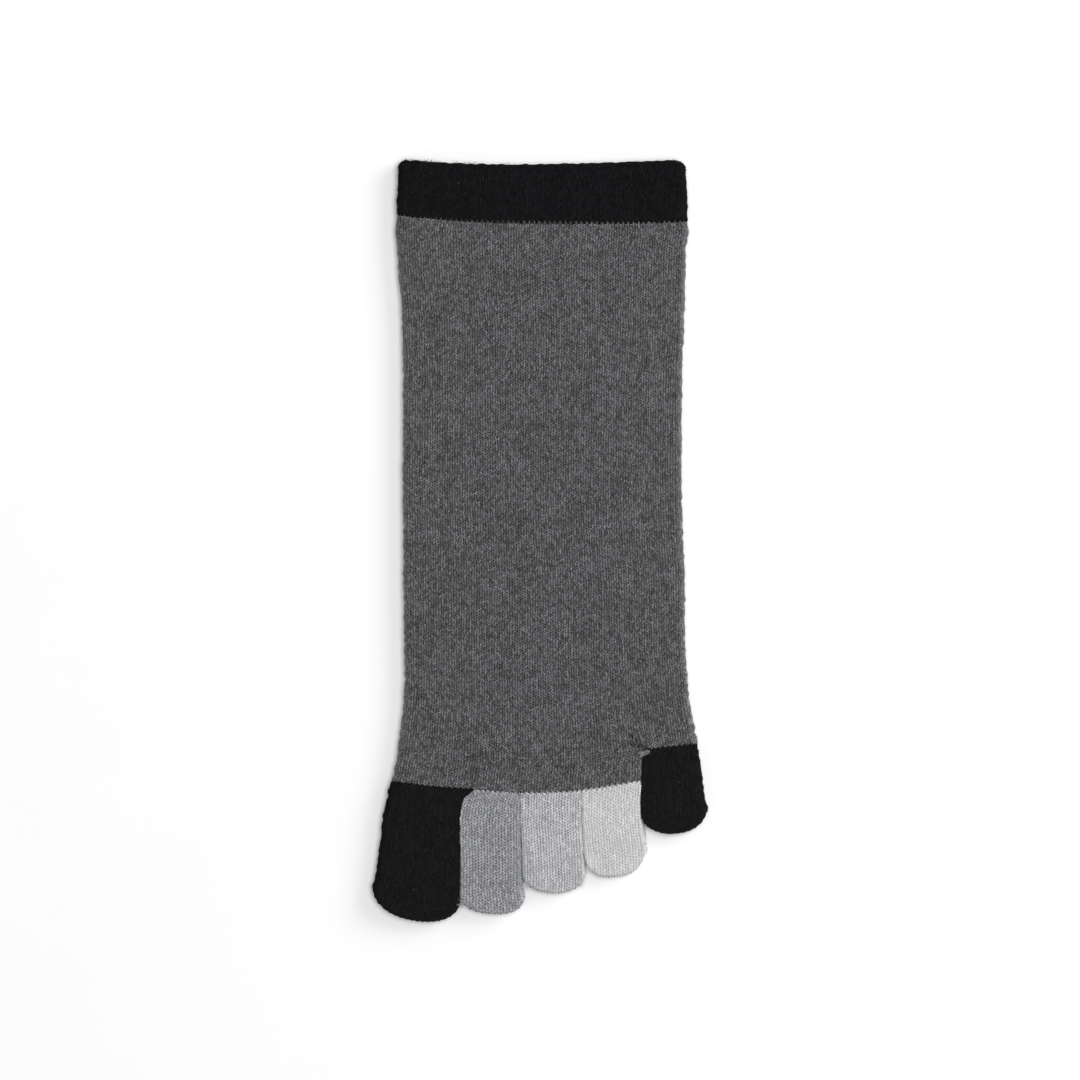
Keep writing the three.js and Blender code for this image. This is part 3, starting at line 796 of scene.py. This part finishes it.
def stitch_painted_shade(tree, wale, course, painted_gap_shade, dots, seed):
    """Painted shade of a stitch: darker gaps beside each arm, darkest in a dot once a course, and darker arm
    ends.
    """
    from_gap = times(tree, calculate(tree, "PINGPONG", wale, 0.25), GAP_SHARPNESS, clamp=True)
    gap = calculate(tree, "SUBTRACT", 1.0, from_gap)
    number = calculate(tree, "ROUND", times(tree, wale, 2.0))
    gap_kind = calculate(tree, "MODULO", number, 2.0)
    rise = times(tree, calculate(tree, "PINGPONG", wale, 0.5), 2 * STITCH_RISE)
    dot_course = calculate(tree, "MULTIPLY_ADD", gap_kind, 0.5, calculate(tree, "ADD", course, rise))
    dot = times(tree, calculate(tree, "PINGPONG", dot_course, 0.5), 2.0)
    gap = times(tree, gap, calculate(tree, "MULTIPLY_ADD", dot, dots, 1 - dots))
    line = noise(tree, knit_place(tree, number, course, GAP_STEPS, seed), 1.0, detail=1.0)
    gap = times(tree, gap, around_one(tree, line, GAP_CHANGE))
    end = times(tree, calculate(tree, "PINGPONG", course, 0.5), END_SHARPNESS, clamp=True)
    end = calculate(tree, "MULTIPLY_ADD", end, painted_gap_shade * END_SHARE, 1 - painted_gap_shade * END_SHARE)
    return times(tree, calculate(tree, "MULTIPLY_ADD", gap, -painted_gap_shade, 1.0), end)


def arm_tone(tree, wale, course, amount, seed):
    """A random factor for each arm of each stitch."""
    arm = calculate(tree, "FLOOR", times(tree, wale, 2.0))
    row = calculate(tree, "FLOOR", course)
    random = node(tree, "ShaderNodeTexWhiteNoise", noise_dimensions="3D")
    feed(tree, random, {"Vector": combine(tree, arm, row, seed)})
    return around_one(tree, random.outputs["Value"], amount)


def tinted(tree, colour, tone):
    tint = node(tree, "ShaderNodeMix", data_type="RGBA", blend_type="MULTIPLY")
    grey = node(tree, "ShaderNodeCombineColor")
    feed(tree, grey, {0: tone, 1: tone, 2: tone})
    feed(tree, tint, {"Factor": 1.0, "A": (*colour, 1.0), "B": grey.outputs["Color"]})
    return tint.outputs["Result"]


def new_material(name, roughness, gloss):
    material = bpy.data.materials.new(name)
    material.use_nodes = True
    tree = material.node_tree
    shader = tree.nodes["Principled BSDF"]
    feed(tree, shader, {"Roughness": roughness, "Specular IOR Level": gloss})
    return material, tree, shader


def yarn_material(name, colour, arms, streaks, fibres, blotches, painted_gap_shade, dots, sheen, painted_fold_light, seed):
    """Knitted yarn. arms is how much one arm differs from the next, streaks the change along a wale, fibres
    the fine speckle, blotches the slow change, painted_gap_shade how dark the painted shade in the gaps is,
    dots how much of it is gathered in a dot a course, painted_fold_light how strong the painted light on
    the folds and the painted shade in the creases and at a toe's seam are."""
    material, tree, shader = new_material(name, YARN_ROUGHNESS, YARN_GLOSS)
    knit = node(tree, "ShaderNodeUVMap", uv_map="knit")
    split = node(tree, "ShaderNodeSeparateXYZ")
    feed(tree, split, {"Vector": knit.outputs["UV"]})
    wale, course = split.outputs["X"], split.outputs["Y"]
    places = node(tree, "ShaderNodeTexCoord").outputs["Object"]

    streak = noise(tree, knit_place(tree, wale, course, STREAK_STEPS, seed), 1.0, detail=2.0, roughness=0.6)
    strand = noise(tree, knit_place(tree, wale, course, STRAND_STEPS, seed + 1), 1.0, detail=0.0)
    fibre = noise(tree, places, FIBRE_SCALE, detail=1.0, roughness=0.6)
    blotch = noise(tree, places, BLOTCH_SCALE, detail=3.0, roughness=0.6)
    tone = arm_tone(tree, wale, course, arms, seed)
    changes = [(streak, streaks), (strand, fibres), (fibre, fibres * FIBRE_SHARE), (blotch, blotches)]
    for change, amount in changes:
        tone = times(tree, tone, around_one(tree, change, amount))
    # Painted shade in the gaps beside the stitches' arms and at the arms' ends
    tone = times(tree, tone, stitch_painted_shade(tree, wale, course, painted_gap_shade, dots, seed))
    tone = calculate(tree, "MAXIMUM", tone, DARKEST_TONE)
    # Painted light on the folds and painted shade in the creases and at a toe's seam, read from the fold
    # attribute
    fold = node(tree, "ShaderNodeAttribute", attribute_name="fold").outputs["Fac"]
    tone = times(tree, tone, calculate(tree, "MULTIPLY_ADD", fold, painted_fold_light, 1.0))
    bump = node(tree, "ShaderNodeBump")
    feed(tree, bump, {"Strength": FIBRE_BUMP, "Distance": FIBRE_BUMP_HEIGHT, "Height": fibre})
    feed(tree, shader, {"Sheen Weight": sheen, "Sheen Roughness": SHEEN_ROUGHNESS,
                        "Base Color": tinted(tree, colour, tone), "Normal": bump.outputs["Normal"]})
    return material


# Colour, arms, streaks, fibres, blotches, painted_gap_shade, dots, sheen, painted_fold_light and seed
YARNS = {
    "black": ((0.0090, 0.0095, 0.0104), 0.3, 0.2, 1.0, 0.12, 0.8, 0.6, 0.01, 0.3, 3),
    "black_toe": ((0.0102, 0.0106, 0.0111), 0.25, 0.2, 0.8, 0.12, 0.68, 0.75, 0.01, 0.3, 5),
    "grey": ((0.1255, 0.127, 0.1315), 0.42, 0.2, 1.5, 0.25, 1.0, 0.7, 0.2, 0.8, 7),
    "mid_grey": ((0.336, 0.341, 0.363), 0.24, 0.2, 0.8, 0.2, 0.94, 0.95, 0.2, 0.6, 11),
    "light_grey": ((0.546, 0.551, 0.567), 0.18, 0.15, 0.65, 0.18, 0.95, 0.95, 0.2, 0.5, 13),
    "pale_grey": ((0.638, 0.638, 0.643), 0.10, 0.10, 0.4, 0.12, 0.68, 0.95, 0.2, 0.4, 17),
}
YARN = {name: yarn_material(name + "_yarn", *values) for name, values in YARNS.items()}

# Knit pieces

# Courses at which the grey tube is cut into rings, and how far apart the inner rows are
RINGS = [0, 50, 100, 150, TUBE_COURSES]
CUFF_INNER_STEP = 6
BLOCK_INNER_STEP = 5
TOE_INNER_ROWS = 14


def build_cuff():
    rows = mouth_rows() + outer_rows(1, CUFF_COURSES, lip=True) + lip_rows(CUFF_COURSES)
    rows += inner_rows(CUFF_COURSES - TUCK, 0.8, CUFF_WALL, CUFF_INNER_STEP)
    rows.append((0.2, CUFF_WALL * 0.85, 0.0, 0.0))
    knit_wall("cuff_knit", cuff_point, 2 * TOP_WALES, rows, "cuff", "black")


def build_ring(number, first, last):
    """A ring of the grey tube. The first is tucked under the cuff, and the last ends in a lip."""
    is_last = last == TUBE_COURSES
    if first == 0:
        rows = tucked_rows(0) + outer_rows(1, last)
        first = -TUCK
    else:
        rows = outer_rows(first, last, TOE_SEAM_CHEVRON, lip=is_last)
    if is_last:
        rows += lip_rows(last, TOE_SEAM_CHEVRON)
        last = last - TUCK
    rows += inner_rows(last, first, WALL)
    knit_wall("foot_knit_%d" % number, tube_point, 2 * TOP_WALES, rows, "foot", "grey")


def build_block():
    """The grey knit over the four toes, from the crotch to the toe line."""
    rows = outer_rows(TUBE_COURSES, GREY_COURSES, TOE_SEAM_CHEVRON, lip=True)
    rows += lip_rows(GREY_COURSES, TOE_SEAM_CHEVRON)
    rows += inner_rows(GREY_COURSES - TUCK, TUBE_COURSES, WALL, BLOCK_INNER_STEP)
    wales = 2 * CROTCH_WALES + STRIP_WALES
    knit_wall("four_toe_knit", block_point, wales, rows, "foot", "grey")


def build_toe(name, toe, point, slot, yarn):
    courses = toe["courses"]
    rows = [(course, WALL, 0.0, 0.0) for course in np.linspace(courses, -TUCK, TOE_INNER_ROWS)]
    rows += tucked_rows(0) + outer_rows(1, courses)
    rows[-1] = (float(courses), 0.0, 0.0, 0.0)
    rows[-2] = (rows[-2][0], 0.0, 0.5, 0.3)
    knit_wall(name + "_knit", point, 2 * toe["wales"], rows, name, yarn, closed=False)


build_cuff()
for number, (first, last) in enumerate(zip(RINGS, RINGS[1:])):
    build_ring(number + 1, first, last)
build_block()
TOE_YARNS = [("black", "black_toe"), ("mid_grey", "mid_grey"), ("light_grey", "light_grey"),
             ("pale_grey", "pale_grey")]
for number, (name, toe) in enumerate(TOES.items()):
    build_toe(name, toe, block_toe(number), *TOE_YARNS[number])
build_toe("little_toe", LITTLE_TOE, little_toe(), "black", "black_toe")

# Loose fibres

# Rows of points along a fibre and sides of its tube
STRAND_ROWS = 6
STRAND_SIDES = 3

# Fuzz: FUZZ_FACTORS are factors on the lengths, FUZZ_EDGE_SHARE stands along the outline
FUZZ_THICKNESS = 0.035
FUZZ_LENGTHS = (0.4, 1.3)
FUZZ_FACTORS = [0.6, 1.0, 1.5]
FUZZ_ODDS = [0.5, 0.35, 0.15]
FUZZ_EDGE_SHARE = 0.75
FUZZ_ROOT = 0.3
FUZZ_SCATTER = 0.6
FUZZ_CURL = 0.6
FUZZ_DROOP = 0.3

# Pale ends of yarn at the mouth, in groups from left to right
MOUTH_FIBRES = 260
MOUTH_GROUPS = 34
MOUTH_LEFT = -44.0
MOUTH_RIGHT = 44.5
MOUTH_CORNER = (-41.2, -39.4, -37.6)

# Specks and hairs on the black knit: x and y in the frame
LINT = [
    (-42.3, -90.6), (-39.5, -110.1), (-32.8, -102.0), (-36.0, -97.5), (-31.0, -88.0), (7.9, 102.0),
    (23.1, 103.5), (-26.0, 112.5), (12.0, 115.0), (30.0, 108.0), (44.0, -76.5), (39.0, -81.0),
]

# Ends of yarn at the corners of the toes' tips: x, y, height, spread along x and y, number
SECOND_TOE_ENDS = [(-24.7, -114.3, 7.0, 0.5, 0.8, 34)]
THIRD_TOE_ENDS = [(-4.8, -108.7, 7.3, 0.8, 0.7, 44), (12.8, -108.0, 7.0, 0.5, 0.5, 22)]
FOURTH_TOE_ENDS = [(16.0, -102.2, 7.3, 1.0, 0.6, 44), (33.3, -97.7, 5.0, 0.3, 0.4, 24)]
ENDS_SPREAD_UP = 0.5

# Point of grey yarn at the crotch: strands, the box in which they start and where they end
CROTCH_STRANDS = 30
CROTCH_STARTS = [(30.4, 32.2), (-68.5, -66.4), (7.3, 7.8)]
CROTCH_POINT = (34.7, -66.3, 7.95)


def unit(vectors):
    return vectors / np.linalg.norm(vectors, axis=1, keepdims=True)


def strand_places(roots, directions, lengths, thickness, curl, droop):
    """Points of the fibres' tubes, row by row."""
    count = len(roots)
    along = np.linspace(0, 1, STRAND_ROWS)[None, :, None]
    aside = np.cross(directions, RANDOM.normal(0, 1, (count, 3)))
    aside /= np.maximum(np.linalg.norm(aside, axis=1, keepdims=True), 1e-6)
    over = np.cross(directions, aside)
    bend = RANDOM.uniform(-curl, curl, (count, 1, 1)) * along ** 2
    bend = bend + RANDOM.uniform(-curl, curl, (count, 1, 1)) * 0.4 * np.sin(along * math.pi * 1.6)
    lengths = lengths[:, None, None]
    middles = roots[:, None, :] + (directions[:, None, :] * along + aside[:, None, :] * bend) * lengths
    middles = middles - np.array([0, 0, droop]) * along ** 2 * lengths
    radius = thickness / 2 * np.sin(math.pi * along) ** 0.35
    angles = np.arange(STRAND_SIDES) * 2 * math.pi / STRAND_SIDES
    ring = np.cos(angles)[:, None] * aside[:, None, None, :]
    ring = ring + np.sin(angles)[:, None] * over[:, None, None, :]
    places = middles[:, :, None, :] + radius[..., None] * ring
    places[..., 2] = np.maximum(places[..., 2], 0.02)
    return places.reshape(count * STRAND_ROWS, STRAND_SIDES, 3)


def loose_fibres(name, roots, directions, lengths, thickness, curl, nodes, fibre, droop=0.0):
    """Thin fibres, each a closed three-sided tube that stands on its root and curls."""
    places = strand_places(roots, directions, lengths, thickness, curl, droop)
    mesh, column, row = grid_mesh(name, STRAND_SIDES, len(places) - 1)
    mesh.vertices.foreach_set("co", (places[row, column % STRAND_SIDES] * MM).ravel())

    def joins_two(face):
        return len({row[vertex.index] // STRAND_ROWS for vertex in face.verts}) > 1

    finish_piece(name, mesh, 2e-7, nodes, FIBRE[fibre], smooth=False, is_cut=joins_two)


def speckled_material(name, dark, light, scale=900.0, ends=(0.35, 0.65), gloss=YARN_GLOSS):
    """A dull surface, darker in some places and lighter in others."""
    material, tree, shader = new_material(name, 0.9, gloss)
    places = node(tree, "ShaderNodeTexCoord").outputs["Object"]
    ramp = node(tree, "ShaderNodeValToRGB")
    for element, position, colour in zip(ramp.color_ramp.elements, ends, (dark, light)):
        element.position = position
        element.color = (*colour, 1)
    feed(tree, ramp, {"Fac": noise(tree, places, scale)})
    feed(tree, shader, {"Base Color": ramp.outputs["Color"]})
    return material


def fuzz(name, count, colour, nodes):
    """Fibres that stand off the knit of the nodes, most of them along its outline."""
    surfaces = [surface for owner in nodes for surface in SURFACES[owner]]
    places, normals = (np.concatenate(values) for values in zip(*surfaces))
    good = np.flatnonzero((np.linalg.norm(normals, axis=1) > 0.5) & (normals[:, 2] > -0.1))
    edge = good[normals[good, 2] < 0.5]
    edge_count = int(count * FUZZ_EDGE_SHARE)
    chosen = np.concatenate([RANDOM.choice(edge, edge_count), RANDOM.choice(good, count - edge_count)])
    directions = normals[chosen] + RANDOM.normal(0, FUZZ_SCATTER, (count, 3))
    directions[:, 2] = np.abs(directions[:, 2]) * 0.6
    directions = unit(directions)
    lengths = RANDOM.uniform(*FUZZ_LENGTHS, count) * RANDOM.choice(FUZZ_FACTORS, count, p=FUZZ_ODDS)
    roots = places[chosen] - normals[chosen] * FUZZ_ROOT
    loose_fibres(name, roots, directions, lengths, FUZZ_THICKNESS, FUZZ_CURL, nodes, colour,
                 FUZZ_DROOP)


def mouth_fibres():
    """Ends of the elastic's pale covering yarn."""
    count = MOUTH_FIBRES
    groups = RANDOM.uniform(MOUTH_LEFT, MOUTH_RIGHT, MOUTH_GROUPS)
    groups[:len(MOUTH_CORNER)] = MOUTH_CORNER
    x = RANDOM.choice(groups, count) + RANDOM.normal(0, 0.9, count)
    x = np.clip(x, MOUTH_LEFT - 0.2, MOUTH_RIGHT - 0.1)
    z = RANDOM.uniform(5.2, 7.2, count)
    roots = np.stack([x + SHIFT_X, mouth_line(x) + SHIFT_Y - 0.08, z], axis=-1)
    directions = unit(RANDOM.normal(0, 1, (count, 3)) * [1.0, 0.45, 0.5] + [0, 0.35, 0.1])
    lengths = RANDOM.uniform(0.5, 1.2, count)
    loose_fibres("mouth_fibres", roots, directions, lengths, 0.09, 0.9, ["cuff"], "pale")


def lint():
    roots = np.array([(x, y, THICKNESS + 0.02) for x, y in LINT])
    directions = unit(RANDOM.normal(0, 1, (len(LINT), 3)) * [1, 1, 0.05] + [0, 0, 0.04])
    lengths = RANDOM.uniform(0.5, 1.5, len(LINT))
    nodes = ["cuff", "big_toe", "little_toe"]
    loose_fibres("lint", roots, directions, lengths, 0.07, 1.0, nodes, "lint")


def tangle(toe, spots, colour):
    """Short ends of yarn at each of the spots of a toe's tip."""
    middles = np.concatenate([np.tile(spot[:3], (spot[5], 1)) for spot in spots])
    spreads = np.concatenate([np.tile([spot[3], spot[4], ENDS_SPREAD_UP], (spot[5], 1)) for spot in spots])
    count = len(middles)
    roots = middles + RANDOM.uniform(-1, 1, (count, 3)) * spreads
    directions = unit(RANDOM.normal(0, 1, (count, 3)) * [1, 1, 0.4])
    lengths = RANDOM.uniform(0.6, 1.5, count)
    loose_fibres(toe + "_ends", roots, directions, lengths, 0.17, 1.2, [toe], colour)


def crotch_yarn():
    count = CROTCH_STRANDS
    roots = np.stack([RANDOM.uniform(*span, count) for span in CROTCH_STARTS], axis=-1)
    tips = np.array(CROTCH_POINT) + RANDOM.normal(0, 1, (count, 3)) * [0.35, 0.2, 0.1]
    reach = np.linalg.norm(tips - roots, axis=1)
    lengths = reach * RANDOM.uniform(0.7, 1.05, count)
    directions = (tips - roots) / reach[:, None]
    loose_fibres("crotch_yarn", roots, directions, lengths, 0.26, 0.12, ["foot"], "grey")


# The fibres' darker and lighter colours
FIBRES = {
    "black": ((0.012, 0.012, 0.013), (0.03, 0.03, 0.03)),
    "grey": ((0.10, 0.10, 0.105), (0.30, 0.30, 0.31)),
    "mid_grey": ((0.30, 0.30, 0.32), (0.5, 0.5, 0.52)),
    "light_grey": ((0.45, 0.45, 0.47), (0.65, 0.65, 0.67)),
    "pale_grey": ((0.55, 0.55, 0.56), (0.75, 0.75, 0.76)),
    "pale": ((0.10, 0.085, 0.06), (0.42, 0.38, 0.31)),
    "lint": ((0.10, 0.10, 0.10), (0.25, 0.25, 0.25)),
}
FIBRE = {name: speckled_material(name + "_fibre", *colours) for name, colours in FIBRES.items()}

fuzz("cuff_fuzz", 500, "black", ["cuff"])
fuzz("foot_fuzz", 1300, "grey", ["foot"])
fuzz("black_toe_fuzz", 420, "black", ["big_toe", "little_toe"])
fuzz("second_toe_fuzz", 200, "mid_grey", ["second_toe"])
fuzz("third_toe_fuzz", 220, "light_grey", ["third_toe"])
fuzz("fourth_toe_fuzz", 220, "pale_grey", ["fourth_toe"])
mouth_fibres()
lint()
tangle("second_toe", SECOND_TOE_ENDS, "mid_grey")
tangle("third_toe", THIRD_TOE_ENDS, "light_grey")
tangle("fourth_toe", FOURTH_TOE_ENDS, "pale_grey")
crotch_yarn()

# Floor, lights and camera, in metres. A light has a place and a power.

FLOOR_HALF = 3.0
FLOOR_DEPTH = 0.0002
LIGHTS = {"key_light": ((1.42, 0.75, 1.25), 16.0), "top_light": ((0.25, 0.1, 2.6), 50.0)}
LIGHT_SIZE = 1.1
ROOM_LIGHT = 0.22
FRAME_WIDTH = 0.34128
CAMERA_DISTANCE = 2.0
CAMERA_Y = 0.00025
SENSOR = 36.0


def build_floor():
    mesh = bpy.data.meshes.new("floor")
    sheet = bmesh.new()
    bmesh.ops.create_grid(sheet, x_segments=1, y_segments=1, size=FLOOR_HALF)
    sheet.to_mesh(mesh)
    sheet.free()
    mesh.materials.append(speckled_material("floor_white", (0.90, 0.90, 0.90), (0.92, 0.92, 0.92), scale=30.0,
                                            ends=(0, 1), gloss=0.1))
    floor = put_in_scene("floor", mesh)
    floor.location = (0, 0, -FLOOR_DEPTH)


def area_light(name, place, power):
    """A square light turned to the sock's middle."""
    data = bpy.data.lights.new(name, "AREA")
    data.shape = "SQUARE"
    data.size = LIGHT_SIZE
    data.energy = power
    light = put_in_scene(name, data)
    light.location = place
    light.rotation_euler = (-Vector(place)).to_track_quat("-Z", "Y").to_euler()


def light_room():
    world = bpy.data.worlds.new("soft_room")
    world.use_nodes = True
    background = world.node_tree.nodes["Background"]
    background.inputs["Color"].default_value = (1, 1, 1, 1)
    background.inputs["Strength"].default_value = ROOM_LIGHT
    bpy.context.scene.world = world
    bpy.context.scene.view_settings.view_transform = "Standard"


def place_camera():
    """A long lens straight above. Its frame is FRAME_WIDTH wide at half the sock's height."""
    data = bpy.data.cameras.new("camera")
    data.sensor_width = SENSOR
    data.lens = SENSOR * CAMERA_DISTANCE / FRAME_WIDTH
    camera = put_in_scene("camera", data)
    camera.location = (0, CAMERA_Y, CAMERA_DISTANCE + THICKNESS / 2 * MM)
    bpy.context.scene.camera = camera


build_floor()
for name, (place, power) in LIGHTS.items():
    area_light(name, place, power)
light_room()
place_camera()
